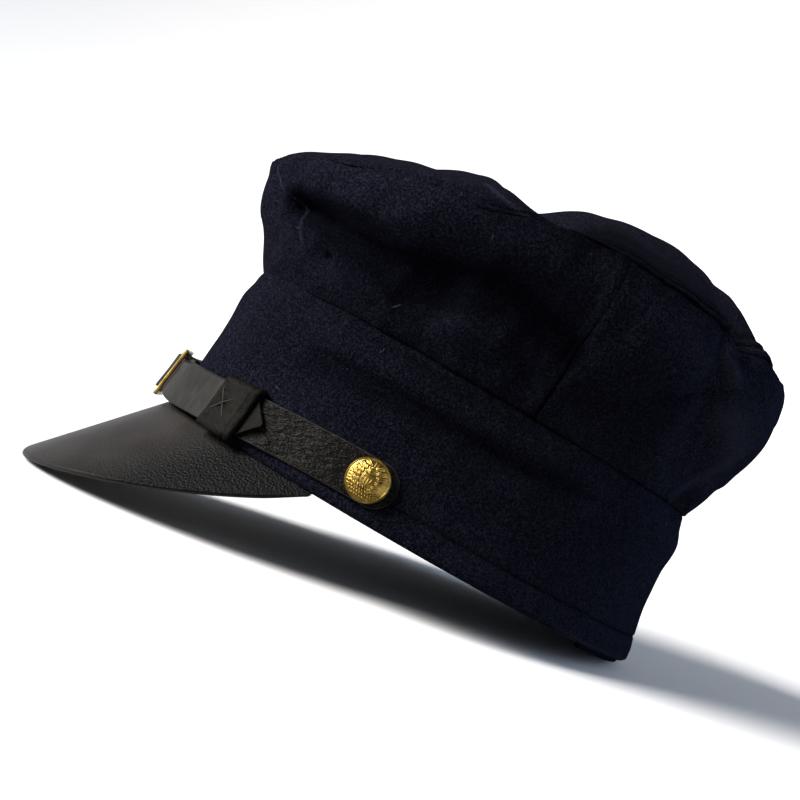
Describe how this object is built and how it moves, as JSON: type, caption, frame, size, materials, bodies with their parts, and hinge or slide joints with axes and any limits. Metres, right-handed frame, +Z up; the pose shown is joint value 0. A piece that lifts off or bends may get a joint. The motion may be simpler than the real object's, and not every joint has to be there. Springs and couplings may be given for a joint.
{
  "type": "peaked cap",
  "caption": "Soft wool peaked cap with a tall band, a slouched round crown, a leather peak and a buckled leather strap between two domed buttons.",
  "frame": {"origin": "centre of the bounding box's base, on the surface that the cap rests on", "axes": "+Z up as the cap rests, -Y to the peak, +Y to the back of the cap, +X to the wearer's left"},
  "size_m": [0.1916, 0.2804, 0.1671],
  "materials": {
    "navy_wool": "brushed woven wool, matt and slightly hairy",
    "peak_leather": "black grained leather, satin",
    "strap_leather": "black grained leather, satin, with a smooth matt back",
    "gilt_brass": "gilt, softly polished"
  },
  "bodies": {
    "root": {"band": "navy_wool", "crown_front": "navy_wool", "crown_front_left": "navy_wool", "crown_rear_left": "navy_wool", "crown_rear_right": "navy_wool", "crown_front_right": "navy_wool", "crown_top": "navy_wool", "neck_flap": "navy_wool", "peak": "peak_leather", "strap_left": "strap_leather", "strap_right": "strap_leather", "keeper_loop": "strap_leather", "buckle": "gilt_brass", "button_left": "gilt_brass", "button_right": "gilt_brass"}
  },
  "joints": []
}
